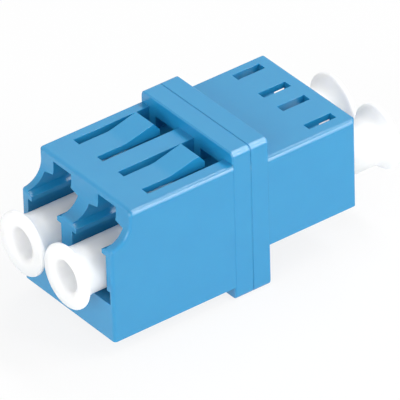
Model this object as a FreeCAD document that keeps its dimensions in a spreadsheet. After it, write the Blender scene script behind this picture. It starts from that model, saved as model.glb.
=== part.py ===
"""Duplex LC fibre-optic adapter with moulded panel latches and four dust caps.

Two moulded halves are welded at the plane y = 0.  Each half has two square plug ports with a
latch keyway above them, and a round barrel on each port axis.  A split ceramic sleeve floats in
the chamber that the barrels of both halves form.  A soft dust cap slips over each barrel.

Millimetres, Z up, Y along the fibres.  The underside of the collar is z = 0 and the collar is
centred on the origin.  The latched half faces -Y.
"""
import FreeCAD, Part
import os
import re

import Sketcher

# Driving sizes, each written once.  The first word of each name says which form it belongs to.
SIZES = {
    # outer form of the two halves
    "body_width": 12.7,
    "edge_round": 0.3,
    "front_length": 14.7,
    "front_height": 12.55,
    "front_underside": 1.3,
    "front_setback": 2.0,
    "front_brow": 1.3,
    "rear_length": 11.2,
    "rear_height": 9.05,
    "rear_underside": 4.1,
    # collar that stops against the panel
    "collar_rise": 1.1,
    "collar_depth": 1.9,
    "collar_proud": 0.05,
    "collar_corner": 0.5,
    "collar_bevel": 0.12,
    "weld_groove": 0.08,
    # plug ports
    "port_pitch": 6.25,
    "port_axis": 7.45,
    "port_width": 4.7,
    "port_floor": 2.5,
    "web_depth": 0.8,
    "rail_gap": 3.6,
    "rail_rise": 2.3,
    "rail_depth": 0.45,
    "rail_slope": 0.25,
    "head_width": 4.7,
    "ledge_rise": 4.5,
    "ledge_slope": 0.2,
    "keyway_width": 2.5,
    "keyway_roof_front": 0.6,
    "keyway_roof_rear": 0.6,
    "catch_distance": 9.95,
    "mouth_width": 5.6,
    "mouth_height": 1.3,
    "mouth_depth": 0.8,
    # panel latches on the front half
    "latch_width": 2.46,
    "latch_slot": 0.87,
    "latch_root": 0.5,
    "latch_bend": 6.85,
    "latch_peak": 3.93,
    "latch_tip": 3.3,
    "latch_rise": 0.73,
    "latch_nose": 0.77,
    "latch_bend_round": 3.0,
    # catch windows in the roof of the rear half
    "window_inner": 1.37,
    "window_outer": 2.24,
    "window_length": 2.9,
    # sleeve barrels
    "barrel_width": 3.0,
    "barrel_reach": 4.4,
    "barrel_round": 0.2,
    "lip_bore": 1.3,
    "lip_mouth": 1.9,
    "lip_land": 0.4,
    # split sleeves
    "sleeve_width": 1.65,
    "sleeve_bore": 1.25,
    "sleeve_length": 6.8,
    "sleeve_slit": 0.3,
    "sleeve_clearance": 0.05,
    "sleeve_float": 0.1,
    # dust caps
    "cap_width": 4.4,
    "cap_head": 6.0,
    "cap_flare": 1.85,
    "cap_rim": 0.45,
    "cap_length": 15.2,
    "cap_seat_front": 1.3,
    "cap_seat_rear": 0.4,
    "cap_clearance": 0.05,
    "cap_bore_depth": 6.4,
    "cap_recess": 2.85,
    "cap_web": 1.2,
    "cap_edge": 0.2,
}

# Heights above z = 0 and distances from the weld plane that several forms share.
FRONT_TOP = "(front_underside + front_height)"
COLLAR_TOP = "(front_underside + front_height + collar_rise)"
BROW_FRONT = "(0 - front_length + front_setback)"
BROW_FOOT = "(front_underside + front_height - front_brow)"
REAR_TOP = "(rear_underside + rear_height)"
PORT_FLOOR = "(port_axis - port_floor)"
RAIL_UNDER = "(port_axis + rail_rise)"
RAIL_TIP = "(port_axis + rail_rise + rail_depth)"
RAIL_TOP = "(port_axis + rail_rise + rail_depth + rail_slope)"
LEDGE_EDGE = "(port_axis + ledge_rise)"
LEDGE_ROOT = "(port_axis + ledge_rise - ledge_slope)"
CHAMBER_REACH = "(sleeve_length / 2 + sleeve_float)"
FIRST_PORT = "(0 - port_pitch / 2)"
TOLERANCE = 0.001

doc = FreeCAD.newDocument("lc_duplex_adapter")
sheet = doc.addObject("Spreadsheet::Sheet", "Sizes")
for row, (alias, millimetres) in enumerate(SIZES.items(), 1):
    sheet.set(f"A{row}", alias)
    sheet.set(f"B{row}", str(millimetres))
    sheet.setAlias(f"B{row}", alias)
doc.recompute()


def bound(text):
    """Turn names of sizes into references to their cells."""
    return re.sub(r"[a-z]\w*", r"Sizes.\g<0>", text)


def size(text):
    """The present value of an expression of sizes."""
    return float(sheet.evalExpression(bound(text)))


def new_body(label, turned=False):
    """Start a body.  A turned one is drawn facing -Y and placed facing +Y."""
    body = doc.addObject("PartDesign::Body", label)
    body.Label = label
    if turned:
        body.Placement.Rotation = FreeCAD.Rotation(FreeCAD.Vector(0, 0, 1), 180)
    return body


def origin_part(body, role):
    """One of the body's own origin planes or axes."""
    return next(item for item in body.Origin.OriginFeatures if item.Role == role)


def new_sketch(body, name, plane, offset="0"):
    """A sketch on an origin plane, moved along the plane's normal by an expression."""
    sketch = body.newObject("Sketcher::SketchObject", name)
    sketch.AttachmentSupport = (origin_part(body, plane), [""])
    sketch.MapMode = "FlatFace"
    sketch.setExpression("AttachmentOffset.Base.z", bound(offset))
    return sketch


def bind_point(sketch, geometry, position, across, up):
    """Tie a point of the sketch to expressions of sizes, measured from the sketch's origin."""
    for kind, text in (("DistanceX", across), ("DistanceY", up)):
        constraint = Sketcher.Constraint(kind, -1, 1, geometry, position, size(text))
        index = sketch.addConstraint(constraint)
        sketch.setExpression(f"Constraints[{index}]", bound(text))


def draw_outline(sketch, corners, arcs=()):
    """Close a loop through corners.  arcs: {corner: (centre across, centre up, radius, turn)},
    where turn is 1 for an arc that runs anticlockwise from that corner and -1 for the other way.
    """
    arcs = dict(arcs)
    points = [FreeCAD.Vector(size(across), size(up), 0) for across, up in corners]
    starts = []
    ends = []
    for index, start in enumerate(points):
        end = points[(index + 1) % len(points)]
        if index not in arcs:
            sketch.addGeometry(Part.LineSegment(start, end), False)
            starts.append(1)
            ends.append(2)
            continue
        across, up, radius, turn = arcs[index]
        centre = FreeCAD.Vector(size(across), size(up), 0)
        circle = Part.Circle(centre, FreeCAD.Vector(0, 0, 1), size(radius))
        first, last = (start, end) if turn > 0 else (end, start)
        arc = Part.ArcOfCircle(circle, circle.parameter(first), circle.parameter(last))
        sketch.addGeometry(arc, False)
        starts.append(1 if turn > 0 else 2)
        ends.append(2 if turn > 0 else 1)
    base = sketch.GeometryCount - len(points)
    for index, (across, up) in enumerate(corners):
        following = (index + 1) % len(points)
        joint = Sketcher.Constraint(
            "Coincident", base + index, ends[index], base + following, starts[following]
        )
        sketch.addConstraint(joint)
        bind_point(sketch, base + index, starts[index], across, up)
    for index, (_, _, radius, _) in arcs.items():
        constraint = Sketcher.Constraint("Radius", base + index, size(radius))
        sketch.setExpression(f"Constraints[{sketch.addConstraint(constraint)}]", bound(radius))


def draw_rectangle(sketch, left, right, bottom, top):
    """A rectangle between four expressions."""
    draw_outline(sketch, [(left, bottom), (right, bottom), (right, top), (left, top)])


def draw_spin_axis(sketch, across):
    """A construction line along the sketch's vertical direction, used as a turning axis."""
    foot = FreeCAD.Vector(size(across), 0, 0)
    head = FreeCAD.Vector(size(across), 1, 0)
    line = sketch.addGeometry(Part.LineSegment(foot, head), True)
    bind_point(sketch, line, 1, across, "0")
    bind_point(sketch, line, 2, across, "1")


def add_feature(body, kind, name, sketch, length=None, **settings):
    """A feature of a sketch, with its length tied to an expression."""
    feature = body.newObject(f"PartDesign::{kind}", name)
    feature.Profile = sketch
    for key, setting in settings.items():
        setattr(feature, key, setting)
    if length is not None:
        feature.setExpression("Length", bound(length))
    doc.recompute()
    return feature


def spin(body, kind, name, sketch):
    """A Revolution or Groove of a sketch about its construction line."""
    return add_feature(body, kind, name, sketch, ReferenceAxis=(sketch, ["Axis0"]), Angle=360)


def dress_edges(body, kind, name, base, amount, wanted):
    """A Fillet or Chamfer on the edges of base for which wanted(box) is true."""
    edges = base.Shape.Edges
    names = [f"Edge{n}" for n, edge in enumerate(edges, 1) if wanted(edge.BoundBox)]
    feature = body.newObject(f"PartDesign::{kind}", name)
    feature.Base = (base, names)
    feature.setExpression("Radius" if kind == "Fillet" else "Size", bound(amount))
    doc.recompute()
    return feature


def near(value, text):
    """Whether a coordinate lies where an expression says."""
    return abs(value - size(text)) < TOLERANCE


def add_collar(body):
    """The half of the collar that belongs to one moulding, bevelled outside and at the weld."""
    sketch = new_sketch(body, "collar_outline", "XZ_Plane")
    half = "(body_width / 2 + collar_proud)"
    draw_rectangle(sketch, f"0 - {half}", half, "0", COLLAR_TOP)
    pad = add_feature(body, "Pad", "collar", sketch, "collar_depth")
    corners = dress_edges(
        body, "Fillet", "collar_corners", pad, "collar_corner", lambda box: box.YLength > TOLERANCE
    )
    rimmed = dress_edges(
        body, "Chamfer", "collar_rim", corners, "collar_bevel",
        lambda box: near(box.YMin, "0 - collar_depth") and near(box.YMax, "0 - collar_depth"),
    )
    return dress_edges(
        body, "Chamfer", "weld_bevel", rimmed, "weld_groove",
        lambda box: near(box.YMin, "0") and near(box.YMax, "0"),
    )


def round_block(body, block, underside):
    """Round the block's outer edges that stand forward of the collar.  Its foot stays sharp."""
    def outer(box):
        on_side = near(abs(box.XMin), "body_width / 2") and near(abs(box.XMax), "body_width / 2")
        forward = box.YMin < size("0 - collar_depth") - TOLERANCE
        tangent = near(box.ZMin, BROW_FOOT) and near(box.ZMax, BROW_FOOT)
        at_foot = near(box.ZMin, underside) and near(box.ZMax, underside)
        return on_side and forward and not tangent and not at_foot

    return dress_edges(body, "Fillet", "block_edges", block, "edge_round", outer)


def port_section(sketch, roof):
    """Section of one port: square plug space, side rails, latch space, ledges and keyway."""
    halves = [
        ("port_width / 2", PORT_FLOOR),
        ("port_width / 2", RAIL_UNDER),
        ("rail_gap / 2", RAIL_UNDER),
        ("rail_gap / 2", RAIL_TIP),
        ("head_width / 2", RAIL_TOP),
        ("head_width / 2", LEDGE_ROOT),
        ("keyway_width / 2", LEDGE_EDGE),
        ("keyway_width / 2", roof),
    ]
    right = [(f"{FIRST_PORT} + {across}", up) for across, up in halves]
    left = [(f"{FIRST_PORT} - {across}", up) for across, up in reversed(halves)]
    draw_outline(sketch, right + left)


def add_ports(body, roof, length):
    """The first port with its barrel: what both halves share.  Gives the features to repeat."""
    section = new_sketch(body, "port_section", "XZ_Plane", "web_depth")
    port_section(section, roof)
    port = add_feature(body, "Pocket", "port", section, f"{length} - web_depth", Reversed=True)

    mouth_outline = new_sketch(body, "mouth_outline", "XZ_Plane", f"{length} - mouth_depth")
    draw_rectangle(
        mouth_outline,
        f"{FIRST_PORT} - mouth_width / 2",
        f"{FIRST_PORT} + mouth_width / 2",
        PORT_FLOOR,
        f"{PORT_FLOOR} + mouth_height",
    )
    mouth = add_feature(body, "Pocket", "mouth", mouth_outline, "mouth_depth", Reversed=True)

    barrel_half = new_sketch(body, "barrel_half", "XY_Plane", "port_axis")
    rim = f"{FIRST_PORT} + barrel_width / 2"
    draw_outline(
        barrel_half,
        [
            (FIRST_PORT, "0 - web_depth / 2"),
            (rim, "0 - web_depth / 2"),
            (rim, "0 - barrel_reach + barrel_round"),
            (f"{rim} - barrel_round", "0 - barrel_reach"),
            (FIRST_PORT, "0 - barrel_reach"),
        ],
    )
    draw_spin_axis(barrel_half, FIRST_PORT)
    barrel = spin(body, "Revolution", "barrel", barrel_half)

    bore_half = new_sketch(body, "bore_half", "XY_Plane", "port_axis")
    chamber = f"{FIRST_PORT} + sleeve_width / 2 + sleeve_clearance"
    draw_outline(
        bore_half,
        [
            (FIRST_PORT, "0"),
            (chamber, "0"),
            (chamber, f"0 - {CHAMBER_REACH}"),
            (f"{FIRST_PORT} + lip_bore / 2", f"0 - {CHAMBER_REACH}"),
            (f"{FIRST_PORT} + lip_bore / 2", f"0 - {CHAMBER_REACH} - lip_land"),
            (f"{FIRST_PORT} + lip_mouth / 2", "0 - barrel_reach"),
            (FIRST_PORT, "0 - barrel_reach"),
        ],
    )
    draw_spin_axis(bore_half, FIRST_PORT)
    bore = spin(body, "Groove", "bore", bore_half)
    return [port, mouth, barrel, bore]


def repeat_ports(body, features):
    """Repeat the first port's features across the pitch."""
    pattern = body.newObject("PartDesign::LinearPattern", "ports")
    pattern.Originals = features
    pattern.Direction = (origin_part(body, "X_Axis"), [""])
    pattern.Occurrences = 2
    pattern.setExpression("Length", bound("port_pitch"))
    body.Tip = pattern
    doc.recompute()
    return pattern


def build_front_housing():
    """The latched half: tall nose with a set-back brow, two ports and two panel latches."""
    body = new_body("front_housing")
    add_collar(body)
    profile = new_sketch(body, "nose_profile", "YZ_Plane")
    draw_outline(
        profile,
        [
            ("0", "front_underside"),
            ("0", FRONT_TOP),
            (BROW_FRONT, FRONT_TOP),
            (BROW_FRONT, BROW_FOOT),
            ("0 - front_length", f"{BROW_FOOT} - front_setback"),
            ("0 - front_length", "front_underside"),
        ],
        arcs={3: ("0 - front_length", BROW_FOOT, "front_setback", -1)},
    )
    block = add_feature(body, "Pad", "nose", profile, "body_width", Midplane=True)
    round_block(body, block, "front_underside")

    ports = add_ports(body, f"{FRONT_TOP} - keyway_roof_front", "front_length")
    opening = new_sketch(body, "latch_opening", "XY_Plane", FRONT_TOP)
    reach = "(latch_width / 2 + latch_slot)"
    draw_rectangle(
        opening,
        f"{FIRST_PORT} - {reach}",
        f"{FIRST_PORT} + {reach}",
        "0 - catch_distance",
        "0 - collar_depth",
    )
    slots = add_feature(body, "Pocket", "latch_slots", opening, f"{FRONT_TOP} - {LEDGE_ROOT}")

    tongue = new_sketch(body, "latch_profile", "YZ_Plane", FIRST_PORT)
    underside = f"{FRONT_TOP} - keyway_roof_front"
    peak = f"{FRONT_TOP} + latch_rise"
    draw_outline(
        tongue,
        [
            ("0 - catch_distance - latch_root", underside),
            ("0 - latch_tip", underside),
            ("0 - latch_tip", f"{peak} - latch_nose"),
            ("0 - latch_peak", peak),
            ("0 - latch_bend", FRONT_TOP),
            ("0 - catch_distance - latch_root", FRONT_TOP),
        ],
    )
    latch = add_feature(body, "Pad", "latch", tongue, "latch_width", Midplane=True)
    pattern = repeat_ports(body, ports + [slots, latch])

    def at_bend(box):
        return near(box.YMin, "0 - latch_bend") and near(box.YMax, "0 - latch_bend")

    dress_edges(
        body, "Fillet", "latch_bends", pattern, "latch_bend_round",
        lambda box: at_bend(box) and near(box.XLength, "latch_width"),
    )
    return body


def build_rear_housing():
    """The plain half: a lower block with four catch windows in its roof.  Drawn facing -Y."""
    body = new_body("rear_housing", turned=True)
    add_collar(body)
    outline = new_sketch(body, "tail_outline", "XZ_Plane")
    draw_rectangle(
        outline, "0 - body_width / 2", "body_width / 2", "rear_underside", REAR_TOP
    )
    block = add_feature(body, "Pad", "tail", outline, "rear_length")
    round_block(body, block, "rear_underside")

    ports = add_ports(body, f"{REAR_TOP} - keyway_roof_rear", "rear_length")
    behind_catch = ("0 - catch_distance", "0 - catch_distance + window_length")
    windows = new_sketch(body, "catch_windows", "XY_Plane", REAR_TOP)
    for hand in ("+", "-"):
        inner = f"{FIRST_PORT} {hand} window_inner"
        outer = f"{FIRST_PORT} {hand} window_outer"
        draw_rectangle(windows, inner, outer, *behind_catch)
    cut = add_feature(body, "Pocket", "windows", windows, "keyway_roof_rear")
    chamber = new_sketch(body, "catch_chamber", "XY_Plane", f"{REAR_TOP} - keyway_roof_rear")
    left = f"{FIRST_PORT} - window_outer"
    right = f"{FIRST_PORT} + window_outer"
    draw_rectangle(chamber, left, right, *behind_catch)
    height = f"{REAR_TOP} - keyway_roof_rear - {LEDGE_ROOT}"
    hollow = add_feature(body, "Pocket", "catch_space", chamber, height)
    repeat_ports(body, ports + [cut, hollow])
    return body


def build_split_sleeve(label, side):
    """A slit ceramic tube on the port axis, half in each barrel."""
    body = new_body(label)
    ring = new_sketch(body, "ring", "XZ_Plane", "0 - sleeve_length / 2")
    for diameter in ("sleeve_width", "sleeve_bore"):
        circle = ring.addGeometry(
            Part.Circle(FreeCAD.Vector(0, 0, 0), FreeCAD.Vector(0, 0, 1), size(diameter) / 2),
            False,
        )
        bind_point(ring, circle, 3, "0", "0")
        width = Sketcher.Constraint("Diameter", circle, size(diameter))
        ring.setExpression(f"Constraints[{ring.addConstraint(width)}]", bound(diameter))
    add_feature(body, "Pad", "tube", ring, "sleeve_length")
    opening = new_sketch(body, "slit_outline", "XY_Plane")
    draw_rectangle(
        opening, "0 - sleeve_slit / 2", "sleeve_slit / 2",
        "0 - sleeve_length", "sleeve_length",
    )
    add_feature(body, "Pocket", "slit", opening, "sleeve_width", Reversed=True)
    place_on_port(body, side)
    return body


def build_dust_cap(label, side, end):
    """A turned soft cap: tube over the barrel, web inside, flared head with a blind recess.

    It is drawn with its inner end on the axis origin and its head at -Y.
    """
    body = new_body(label, turned=(end == "rear"))
    profile = new_sketch(body, "half_profile", "XY_Plane")
    bore = "barrel_width / 2 + cap_clearance"
    flare_rise = "(cap_head - cap_width) / 2"
    flare_run = "(cap_flare - cap_rim)"
    flare_radius = f"(({flare_rise})^2 + {flare_run}^2) / (2 * {flare_rise})"
    flare_start = "0 - cap_length + cap_flare"
    draw_outline(
        profile,
        [
            (bore, "0 - cap_bore_depth"),
            (bore, "0 - cap_edge"),
            (f"{bore} + cap_edge", "0"),
            ("cap_width / 2 - cap_edge", "0"),
            ("cap_width / 2", "0 - cap_edge"),
            ("cap_width / 2", flare_start),
            ("cap_head / 2", "0 - cap_length + cap_rim"),
            ("cap_head / 2", "0 - cap_length + cap_edge"),
            ("cap_head / 2 - cap_edge", "0 - cap_length"),
            ("cap_recess / 2 + cap_edge", "0 - cap_length"),
            ("cap_recess / 2", "0 - cap_length + cap_edge"),
            ("cap_recess / 2", "0 - cap_bore_depth - cap_web"),
            ("0", "0 - cap_bore_depth - cap_web"),
            ("0", "0 - cap_bore_depth"),
        ],
        arcs={5: (f"cap_width / 2 + {flare_radius}", flare_start, flare_radius, 1)},
    )
    draw_spin_axis(profile, "0")
    spin(body, "Revolution", "cap", profile)
    place_on_port(body, side)
    outward = {"front": "-1", "rear": "1"}[end]
    body.setExpression("Placement.Base.y", bound(f"{outward} * (web_depth + cap_seat_{end})"))
    return body


def place_on_port(body, side):
    """Move a piece drawn about the Y axis onto a port axis.  side: -1 left, 1 right."""
    body.setExpression("Placement.Base.x", bound(f"{side} * port_pitch / 2"))
    body.setExpression("Placement.Base.z", bound("port_axis"))


def check_document():
    """Stop on any feature that failed or any piece that is not one sound solid."""
    doc.recompute()
    for item in doc.Objects:
        if "Invalid" in item.State or "Error" in item.State:
            raise RuntimeError(f"{item.Name} failed: {item.State}")
    for body in pieces:
        if body.Shape.isNull() or not body.Shape.isValid() or len(body.Shape.Solids) != 1:
            raise RuntimeError(f"{body.Label} is not one valid solid")


def write_pieces():
    """Write each piece to its own file, named after its label."""
    os.makedirs("parts", exist_ok=True)
    for body in pieces:
        body.Shape.exportStep(f"parts/{body.Label}.step")
        print(f"{body.Label}: {body.Shape.Volume:.2f} mm3, {len(body.Shape.Faces)} faces")


pieces = [build_front_housing(), build_rear_housing()]
for side, hand in ((-1, "left"), (1, "right")):
    pieces.append(build_split_sleeve(f"split_sleeve_{hand}", side))
    pieces.append(build_dust_cap(f"dust_cap_front_{hand}", side, "front"))
    pieces.append(build_dust_cap(f"dust_cap_rear_{hand}", side, "rear"))
check_document()
write_pieces()
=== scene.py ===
# %% [markdown]
# # A duplex fibre adapter
# Two blue mouldings are welded back to back and join four fibre plugs, two on each side. Soft
# white caps keep the dust out of the ports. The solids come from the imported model, which is the
# fixed frame of this scene: everything here is in metres, in the same place, with the same names.

# %% Load the fixed frame
import math

import bmesh
import bpy
from mathutils import Matrix, Vector


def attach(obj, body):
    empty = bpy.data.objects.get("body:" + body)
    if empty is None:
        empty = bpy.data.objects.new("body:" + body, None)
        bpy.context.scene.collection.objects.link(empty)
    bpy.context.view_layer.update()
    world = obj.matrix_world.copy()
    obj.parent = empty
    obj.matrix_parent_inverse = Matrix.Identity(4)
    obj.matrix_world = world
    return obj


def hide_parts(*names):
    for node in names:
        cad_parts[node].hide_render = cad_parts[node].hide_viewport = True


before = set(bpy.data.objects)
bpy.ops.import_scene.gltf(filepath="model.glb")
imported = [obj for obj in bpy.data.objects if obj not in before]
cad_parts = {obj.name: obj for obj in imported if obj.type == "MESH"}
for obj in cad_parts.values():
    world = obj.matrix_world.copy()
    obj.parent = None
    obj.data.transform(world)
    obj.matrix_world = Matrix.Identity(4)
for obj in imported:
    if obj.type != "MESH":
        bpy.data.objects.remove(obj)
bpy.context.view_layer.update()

MM = 0.001

# %% [markdown]
# ## The camera
# Small parts are shot from far away with a long lens, so that parallel edges stay nearly parallel.
# The camera stands to the right of the latched end, a third of a right angle up. It is turned by
# three plain angles about the point it aims at, which is easier to read than a matrix.

# %% Camera
CAMERA_AIM = Vector((-1.604, 0.495, 5.093)) * MM
CAMERA_DISTANCE = 704.5 * MM
CAMERA_AZIMUTH = math.radians(53.528)
CAMERA_ELEVATION = math.radians(34.238)
CAMERA_ROLL = math.radians(-1.648)
CAMERA_LENS = 743.8

camera_data = bpy.data.cameras.new("camera")
camera_data.lens = CAMERA_LENS
camera_data.clip_start = 10 * MM
camera_data.clip_end = 5000 * MM
camera = bpy.data.objects.new("camera", camera_data)
bpy.context.scene.collection.objects.link(camera)
bpy.context.scene.camera = camera
away = Vector((
    math.sin(CAMERA_AZIMUTH) * math.cos(CAMERA_ELEVATION),
    -math.cos(CAMERA_AZIMUTH) * math.cos(CAMERA_ELEVATION),
    math.sin(CAMERA_ELEVATION),
))
camera.location = CAMERA_AIM + away * CAMERA_DISTANCE
turn = (-away).to_track_quat("-Z", "Y").to_matrix() @ Matrix.Rotation(CAMERA_ROLL, 3, "Z")
camera.rotation_euler = turn.to_euler()
print("camera at", [round(v / MM, 1) for v in camera.location], "mm")

# %% [markdown]
# ## Shader sums
# A material is a net of nodes, which is slow to read as a list of links. This class wraps one
# socket and overloads the signs of arithmetic, so a pattern is written as a plain sum. Every other
# kind of node comes from its method `node`, which sets the node up first, then fills its sockets.


# %% A socket that takes part in sums
class Wire:
    """One output socket of a material's net of nodes."""

    def __init__(self, tree, socket=None):
        self.tree = tree
        self.socket = socket

    def node(self, kind, settings, inputs, output=0):
        """Add a node: settings first, then each socket gets a value or a link."""
        made = self.tree.nodes.new(kind)
        for name, value in settings.items():
            setattr(made, name, value)
        for name, value in inputs.items():
            if isinstance(value, Wire):
                self.tree.links.new(value.socket, made.inputs[name])
            else:
                made.inputs[name].default_value = value
        return Wire(self.tree, made.outputs[output])

    def maths(self, operation, other, swapped=False):
        """Any operation of maths on this wire and a number or another wire."""
        first, second = (other, self) if swapped else (self, other)
        return self.node("ShaderNodeMath", {"operation": operation}, {0: first, 1: second})

    def __add__(self, other):
        return self.maths("ADD", other)

    def __radd__(self, other):
        return self.maths("ADD", other, swapped=True)

    def __sub__(self, other):
        return self.maths("SUBTRACT", other)

    def __rsub__(self, other):
        return self.maths("SUBTRACT", other, swapped=True)

    def __mul__(self, other):
        return self.maths("MULTIPLY", other)

    def __rmul__(self, other):
        return self.maths("MULTIPLY", other, swapped=True)


def new_material(name, **constants):
    """A Principled material, its constants set on the shader's own sockets.

    Gives the material, its shader node and a Wire on the object's coordinates."""
    material = bpy.data.materials.new(name)
    material.use_nodes = True
    tree = material.node_tree
    shader = tree.nodes["Principled BSDF"]
    for socket, value in constants.items():
        shader.inputs[socket.replace("_", " ")].default_value = value
    place = Wire(tree).node("ShaderNodeTexCoord", {}, {}, "Object")
    return material, shader, place


def feed(shader, **wires):
    """Link wires to the shader's sockets."""
    for socket, wire in wires.items():
        wire.tree.links.new(wire.socket, shader.inputs[socket.replace("_", " ")])


def noise(place, scale, detail):
    """Noise from 0 to 1 that follows the vector place."""
    sockets = {"Vector": place, "Scale": scale, "Detail": detail}
    return place.node("ShaderNodeTexNoise", {}, sockets)


def blend(share, low, high):
    """The colour low where share is 0 and the colour high where it is 1."""
    sockets = {0: share, 6: low, 7: high}
    return share.node("ShaderNodeMix", {"data_type": "RGBA"}, sockets, 2)


# %% [markdown]
# ## Blue moulded plastic
# The housings are moulded from a blue engineering plastic. Its skin copies the steel of the mould:
# a fine even grain, faint long waves where the wall shrank, and a slightly uneven pigment. The
# grain and the waves are noise at two scales, added as heights to one Bump node.
#
# A block's long top edges are rolled over more softly than the fillet of the solid. The height
# therefore also falls away just under the top of the outer walls, which tilts their skin upwards
# and leaves the flat top alone. A number kept on each face of the moulding says which are outer.

# %% The soft shoulder of a block
SHOULDER = 0.8 * MM
SHOULDER_BEND = 690.0
OUTER_WALL = "outer_wall"


def shoulder(place, top):
    """A height that falls away on the outer walls of a block towards its top."""
    up = place.node("ShaderNodeSeparateXYZ", {}, {"Vector": place}, "Z").maths("MINIMUM", top)
    past = (up - (top - SHOULDER)).maths("MAXIMUM", 0.0)
    outer = place.node("ShaderNodeAttribute", {"attribute_name": OUTER_WALL}, {}, "Fac")
    return past * past * outer * -SHOULDER_BEND


# %% Blue moulded plastic
BLUE = (0.020, 0.296, 0.562, 1.0)
BLUE_DEEP = (0.017, 0.273, 0.540, 1.0)
PIGMENT_SCALE = 420.0
GRAIN_SCALE = 9000.0
WAVE_SCALE = 260.0
GRAIN_SHARE = 0.2
SKIN_DEPTH = 0.005 * MM
LATCHED_TOP = 13.85 * MM
PLAIN_TOP = 13.15 * MM


def blue_plastic(name, top):
    """The plastic of one moulding, whose block ends at the height top."""
    material, shader, place = new_material(
        name, IOR=1.6, Subsurface_Weight=0.3, Subsurface_Scale=0.35 * MM,
    )
    shader.inputs["Subsurface Radius"].default_value = (0.1, 0.7, 1.0)
    pigment = noise(place, PIGMENT_SCALE, 2.0)
    grain = noise(place, GRAIN_SCALE, 1.0)
    waves = noise(place, WAVE_SCALE, 0.0)
    colour = blend(pigment, BLUE_DEEP, BLUE)
    skin = grain * GRAIN_SHARE + waves * (1.0 - GRAIN_SHARE)
    height = skin * SKIN_DEPTH + shoulder(place, top)
    bump = place.node(
        "ShaderNodeBump", {}, {"Strength": 1.0, "Distance": 1.0, "Height": height}
    )
    feed(shader, Base_Color=colour, Roughness=0.20 + pigment * 0.08, Normal=bump)
    return material


latched_blue = blue_plastic("blue_latched_moulding", LATCHED_TOP)
plain_blue = blue_plastic("blue_plain_moulding", PLAIN_TOP)
print("made", latched_blue.name, "and", plain_blue.name)

# %% [markdown]
# ## Soft white cap plastic
# Dust caps are moulded from natural polyethylene. Light enters it, scatters and comes out a little
# further on, so it looks milky and its shadows are soft. Subsurface scattering gives that.

# %% Soft white cap plastic
CAP_WHITE = (0.93, 0.93, 0.935, 1.0)
CAP_CLOUD = (0.91, 0.91, 0.925, 1.0)
CLOUD_SCALE = 500.0
CAP_SKIN_SCALE = 5000.0

soft_white, shader, place = new_material(
    "soft_white_cap", IOR=1.5, Subsurface_Weight=1.0, Subsurface_Scale=1.5 * MM,
)
shader.inputs["Subsurface Radius"].default_value = (1.0, 1.0, 1.1)
cloud = noise(place, CLOUD_SCALE, 2.0)
skin = noise(place, CAP_SKIN_SCALE, 2.0)
bump = place.node(
    "ShaderNodeBump", {}, {"Strength": 0.2, "Distance": 0.01 * MM, "Height": skin}
)
colour = blend(cloud, CAP_CLOUD, CAP_WHITE)
feed(shader, Base_Color=colour, Roughness=0.38 + cloud * 0.12, Normal=bump)
print("made", soft_white.name)

# %% [markdown]
# ## Zirconia
# The split sleeves that line the fibres up are ground zirconia: a dense white ceramic with fine
# marks along its length.

# %% Zirconia
ZIRCONIA = (0.80, 0.79, 0.76, 1.0)
ZIRCONIA_SHADE = (0.74, 0.73, 0.70, 1.0)
MARK_SCALE = 9000.0

ceramic, shader, place = new_material("ground_zirconia", IOR=2.1)
stretched = place.node(
    "ShaderNodeMapping", {}, {"Vector": place, "Scale": (1.0, 0.08, 1.0)}
)
marks = noise(stretched, MARK_SCALE, 2.0)
feed(shader, Base_Color=blend(marks, ZIRCONIA_SHADE, ZIRCONIA), Roughness=0.16 + marks * 0.12)
print("made", ceramic.name)

# %% [markdown]
# ## The two mouldings
# A mould has no knife edges, so every corner of the real part has a small radius that catches the
# light. The solid keeps its sharp corners. A copy of it is merged into one skin, its triangles are
# joined back into flat faces, and a Bevel modifier rounds what is left sharp. Every new piece ends
# the same way, as an object at the origin with one material, so one helper does that.

# %% From a mesh to a piece
def make_object(mesh, name, material):
    """Finish a mesh: an object at the origin with one material."""
    data = bpy.data.meshes.new(name)
    mesh.to_mesh(data)
    mesh.free()
    data.materials.append(material)
    made = bpy.data.objects.new(name, data)
    bpy.context.scene.collection.objects.link(made)
    return made


# %% Round the moulded edges
MERGE_DISTANCE = 0.0005 * MM
FLAT_ANGLE = math.radians(0.6)
SHARP_ANGLE = math.radians(25)
MOUTH_RADIUS = 0.13 * MM
EDGE_SHARE = 0.62
MOUTH_DEPTH = 3.2 * MM


def weigh_edges(mesh, mouth):
    """Give every sharp edge its share of the rounding: all of it round the mouths of the ports."""
    weight = mesh.edges.layers.float.new("bevel_weight_edge")
    for edge in mesh.edges:
        if len(edge.link_faces) == 2 and edge.calc_face_angle() > SHARP_ANGLE:
            middle = (edge.verts[0].co + edge.verts[1].co) / 2
            edge[weight] = 1.0 if abs(middle.y - mouth) < MOUTH_DEPTH else EDGE_SHARE


WALL_INSIDE = 6.0 * MM
WALL_OUTSIDE = 6.375 * MM


def mark_outer_walls(mesh):
    """Note on each face whether it belongs to an outer wall of the block or its rounding."""
    outer = mesh.faces.layers.float.new(OUTER_WALL)
    for face in mesh.faces:
        across = abs(face.calc_center_median().x)
        face[outer] = float(WALL_INSIDE < across < WALL_OUTSIDE and abs(face.normal.x) > 0.01)


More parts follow.
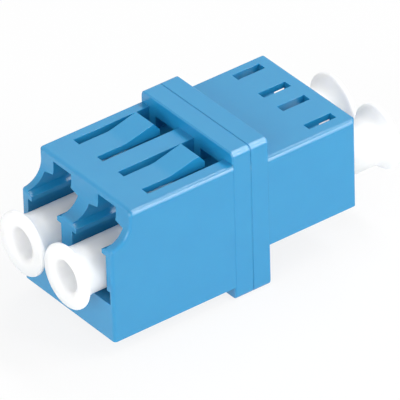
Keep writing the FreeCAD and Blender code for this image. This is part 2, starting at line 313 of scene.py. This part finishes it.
def softened_copy(node, name, material, body, mouth):
    """A copy of a CAD node with rounded edges, which stands for it."""
    mesh = bmesh.new()
    mesh.from_mesh(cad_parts[node].data)
    bmesh.ops.remove_doubles(mesh, verts=mesh.verts, dist=MERGE_DISTANCE)
    bmesh.ops.dissolve_limit(
        mesh, angle_limit=FLAT_ANGLE, verts=mesh.verts, edges=mesh.edges, delimit={"NORMAL"}
    )
    weigh_edges(mesh, mouth)
    mark_outer_walls(mesh)
    piece = make_object(mesh, name, material)
    piece.data.shade_smooth()
    piece.data.set_sharp_from_angle(angle=SHARP_ANGLE)
    bevel = piece.modifiers.new("rounding", "BEVEL")
    bevel.width = MOUTH_RADIUS
    bevel.segments = 2
    bevel.limit_method = "WEIGHT"
    weighted = piece.modifiers.new("flat faces stay flat", "WEIGHTED_NORMAL")
    weighted.mode = "FACE_AREA"
    weighted.weight = 100
    weighted.keep_sharp = True
    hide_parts(node)
    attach(piece, body)
    return piece


FRONT_MOUTH = -14.7 * MM
REAR_MOUTH = 11.2 * MM
MOULDINGS = (
    ("front_housing", "latched_moulding", latched_blue, FRONT_MOUTH),
    ("rear_housing", "plain_moulding", plain_blue, REAR_MOUTH),
)
for node, name, material, mouth in MOULDINGS:
    moulding = softened_copy(node, name, material, "adapter", mouth)
    print(name, len(moulding.data.polygons), "faces before rounding")

# %% [markdown]
# ## Dust caps
# A dust cap is a soft thimble: a hollow that slides over the barrel in the port, a straight wall,
# and a trumpet-shaped head to pull it by, with a dimple that keeps the head's wall thin. It is
# round, so half its outline is drawn once and spun. The flare is an arc, drawn by spinning one
# vertex.

# %% The outline of a cap
CAP_RADIUS = 2.2 * MM
HEAD_RADIUS = 3.0 * MM
CAP_LENGTH = 15.2 * MM
FLARE_LENGTH = 1.4 * MM
RIM_THICKNESS = 0.45 * MM
BORE_RADIUS = 1.55 * MM
BORE_DEPTH = 6.4 * MM
DIMPLE_RADIUS = 1.425 * MM
DIMPLE_FLOOR = 7.6 * MM
GATE_RADIUS = 0.35 * MM
GATE_HEIGHT = 0.12 * MM
FLARE_STEPS = 14


def outline_of_cap(mesh):
    """Half the section of a cap, from its closed wall inside to the foot of its dimple.

    The axis is X and radii go up Z.  The cap's inner end is at X = 0."""
    rise = HEAD_RADIUS - CAP_RADIUS
    radius = (rise ** 2 + FLARE_LENGTH ** 2) / (2 * rise)
    flare_start = CAP_LENGTH - RIM_THICKNESS - FLARE_LENGTH
    inside = [(BORE_DEPTH, 0), (BORE_DEPTH, BORE_RADIUS), (0, BORE_RADIUS), (0, CAP_RADIUS)]
    outside = [
        (CAP_LENGTH, HEAD_RADIUS),
        (CAP_LENGTH, DIMPLE_RADIUS),
        (DIMPLE_FLOOR, DIMPLE_RADIUS),
        (DIMPLE_FLOOR, GATE_RADIUS),
        (DIMPLE_FLOOR + GATE_HEIGHT, GATE_RADIUS),
        (DIMPLE_FLOOR + GATE_HEIGHT, 0),
    ]
    foot = mesh.verts.new((flare_start, 0, CAP_RADIUS))
    bmesh.ops.spin(
        mesh, geom=[foot], cent=(flare_start, 0, CAP_RADIUS + radius), axis=(0, 1, 0),
        dvec=(0, 0, 0), angle=-math.asin(FLARE_LENGTH / radius), steps=FLARE_STEPS,
    )
    lip = max(mesh.verts, key=lambda vertex: vertex.co.x)
    for start, run in ((foot, reversed(inside)), (lip, outside)):
        for along, up in run:
            following = mesh.verts.new((along, 0, up))
            mesh.edges.new((start, following))
            start = following
    return lip.co.copy()


# %% [markdown]
# Spinning leaves a sharp ring at each corner of the outline. Beveling the rings with an arc gives
# the rolled lip and the soft mouth of the dimple. Each ring gets its own radius in millimetres.

# %% Spin the caps and round their rings
CAP_STEPS = 72
LIP_ROUNDING = 0.12 * MM
RING_REACH = 0.001 * MM
RING_RADII = (
    (0, BORE_RADIUS, 0.20),
    (0, CAP_RADIUS, 0.20),
    (CAP_LENGTH, HEAD_RADIUS, 0.20),
    (CAP_LENGTH, DIMPLE_RADIUS, 0.45),
    (DIMPLE_FLOOR, DIMPLE_RADIUS, 0.40),
    (DIMPLE_FLOOR + GATE_HEIGHT, GATE_RADIUS, 0.06),
    (BORE_DEPTH, BORE_RADIUS, 0.20),
)


def ring_at(mesh, along, radius):
    """The edges that run round the axis at one place."""
    def here(vertex):
        away = math.hypot(vertex.co.y, vertex.co.z)
        return abs(vertex.co.x - along) < RING_REACH and abs(away - radius) < RING_REACH

    return [edge for edge in mesh.edges if here(edge.verts[0]) and here(edge.verts[1])]


def dust_cap(name, node, body, across, inner_end, outward):
    """One cap on its port's axis, its inner end at inner_end and its head outwards."""
    mesh = bmesh.new()
    lip = outline_of_cap(mesh)
    bmesh.ops.spin(
        mesh, geom=mesh.verts[:] + mesh.edges[:], cent=(0, 0, 0), axis=(1, 0, 0),
        dvec=(0, 0, 0), angle=math.tau, steps=CAP_STEPS, use_merge=True,
    )
    bmesh.ops.remove_doubles(mesh, verts=mesh.verts, dist=MERGE_DISTANCE)
    for along, radius, rounding in RING_RADII:
        bmesh.ops.bevel(
            mesh, geom=ring_at(mesh, along, radius), offset=rounding * MM, segments=5,
            profile=0.5, affect="EDGES", material=-1,
        )
    bmesh.ops.bevel(
        mesh, geom=ring_at(mesh, lip.x, lip.z), offset=LIP_ROUNDING, segments=4,
        profile=0.5, affect="EDGES", material=-1,
    )
    turn = Matrix.Rotation(outward * math.pi / 2, 4, "Z")
    bmesh.ops.transform(
        mesh, matrix=Matrix.Translation((across, inner_end, PORT_HEIGHT)) @ turn, verts=mesh.verts
    )
    bmesh.ops.recalc_face_normals(mesh, faces=mesh.faces)
    piece = make_object(mesh, name, soft_white)
    piece.data.shade_smooth()
    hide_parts(node)
    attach(piece, body)
    return piece


PORT_HEIGHT = 7.45 * MM
HALF_PITCH = 3.125 * MM
SEATS = {"front": (-2.1 * MM, -1), "rear": (1.2 * MM, 1)}

for end, (inner_end, outward) in SEATS.items():
    for hand, side in (("left", -1), ("right", 1)):
        cap = dust_cap(
            f"{end}_{hand}_thimble", f"dust_cap_{end}_{hand}", f"{end}_{hand}_cap",
            side * HALF_PITCH, inner_end, outward,
        )
        print(cap.name, len(cap.data.polygons), "faces")

# %% [markdown]
# ## Split sleeves
# The two sleeves are closed in by the mouldings. Their solids already have the true shape, so they
# stay and only get the ceramic.

# %% Finish the sleeves
for node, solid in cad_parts.items():
    if node.startswith("split_sleeve"):
        solid.data.materials.clear()
        solid.data.materials.append(ceramic)
        solid.data.shade_smooth()
        solid.data.set_sharp_from_angle(angle=SHARP_ANGLE)
        print("finished", node)

# %% [markdown]
# ## Floor and light
# A product tent, white all round. The floor shows white to the camera and to reflections, and
# still keeps some of the shadow, because only part of it is replaced by an even white.

# %% Floor
def seen_directly(tree):
    """1 for rays from the camera and for mirrored and transmitted ones, 0 for the light's."""
    path = tree.nodes.new("ShaderNodeLightPath")
    camera_ray = Wire(tree, path.outputs["Is Camera Ray"])
    glossy_ray = Wire(tree, path.outputs["Is Glossy Ray"])
    return camera_ray + glossy_ray + Wire(tree, path.outputs["Is Transmission Ray"])


FLOOR_HALF = 600 * MM
FLOOR_WHITE = (0.86, 0.86, 0.86, 1.0)
FLOOR_EVEN = 0.85

floor_material = bpy.data.materials.new("pale_floor")
floor_material.use_nodes = True
tree = floor_material.node_tree
base = Wire(tree)
tree.nodes.remove(tree.nodes["Principled BSDF"])
diffuse = base.node("ShaderNodeBsdfDiffuse", {}, {"Color": FLOOR_WHITE})
even = base.node("ShaderNodeEmission", {}, {"Color": (1.0, 1.0, 1.0, 1.0), "Strength": 1.0})
surface = base.node(
    "ShaderNodeMixShader", {}, {0: seen_directly(tree) * FLOOR_EVEN, 1: diffuse, 2: even}
)
tree.links.new(surface.socket, tree.nodes["Material Output"].inputs["Surface"])

floor_mesh = bmesh.new()
bmesh.ops.create_grid(floor_mesh, x_segments=1, y_segments=1, size=FLOOR_HALF)
floor = make_object(floor_mesh, "floor", floor_material)
print("made the floor")

# %% World
WORLD_LEVEL = 0.44

world = bpy.data.worlds.new("white_tent")
world.use_nodes = True
bpy.context.scene.world = world
background = world.node_tree.nodes["Background"]
background.inputs["Color"].default_value = (1.0, 1.0, 1.0, 1.0)
feed(background, Strength=WORLD_LEVEL + seen_directly(world.node_tree) * (1.0 - WORLD_LEVEL))
print("made", world.name)

# %% [markdown]
# A rounded edge mirrors a whole sweep of its surroundings. A lamp as long as that sweep makes one
# unbroken bright line along the edge, and because it is narrow, it adds little light elsewhere. A
# wide weak lamp in front lifts the ports, so that they don't go black.

# %% Lamps
CENTRE = Vector((0.0, 0.0, 7.0)) * MM


def add_lamp(name, size, radiance, direction, distance, along):
    """A rectangular lamp that faces the object.  Its long side follows the vector along."""
    data = bpy.data.lights.new(name, "AREA")
    data.shape = "RECTANGLE"
    data.size, data.size_y = size
    data.energy = radiance * math.pi * size[0] * size[1]
    lamp = bpy.data.objects.new(name, data)
    bpy.context.scene.collection.objects.link(lamp)
    back = Vector(direction).normalized()
    long_side = (Vector(along) - back * back.dot(Vector(along))).normalized()
    facing = Matrix((long_side, back.cross(long_side), back)).transposed()
    lamp.location = CENTRE + back * distance
    lamp.rotation_euler = facing.to_euler()
    return lamp


SWEEP_TILT = math.radians(60.6)
SWEEP_DEGREES = {"strip_left": -4, "strip_middle": 40, "strip_right": 84}
STRIP_SIZE = (310 * MM, 65 * MM)
STRIP_RADIANCE = 7.0
STRIP_DISTANCE = 350 * MM
FILL_SIZE = (500 * MM, 350 * MM)
FILL_RADIANCE = 3.0
FILL_DIRECTION = (0.35, -0.88, 0.32)
FILL_DISTANCE = 500 * MM

for name, degrees in SWEEP_DEGREES.items():
    around = math.radians(degrees)
    direction = Vector((
        math.sin(SWEEP_TILT) * math.sin(around),
        math.cos(SWEEP_TILT),
        math.sin(SWEEP_TILT) * math.cos(around),
    ))
    along = (math.cos(around), 0.0, -math.sin(around))
    add_lamp(name, STRIP_SIZE, STRIP_RADIANCE, direction, STRIP_DISTANCE, along)
add_lamp(
    "front_fill", FILL_SIZE, FILL_RADIANCE, FILL_DIRECTION, FILL_DISTANCE, (1.0, 0.0, 0.0)
)

# %% [markdown]
# The Standard view transform shows a colour as it is written.

# %% Close the scene
bpy.context.scene.view_settings.view_transform = "Standard"
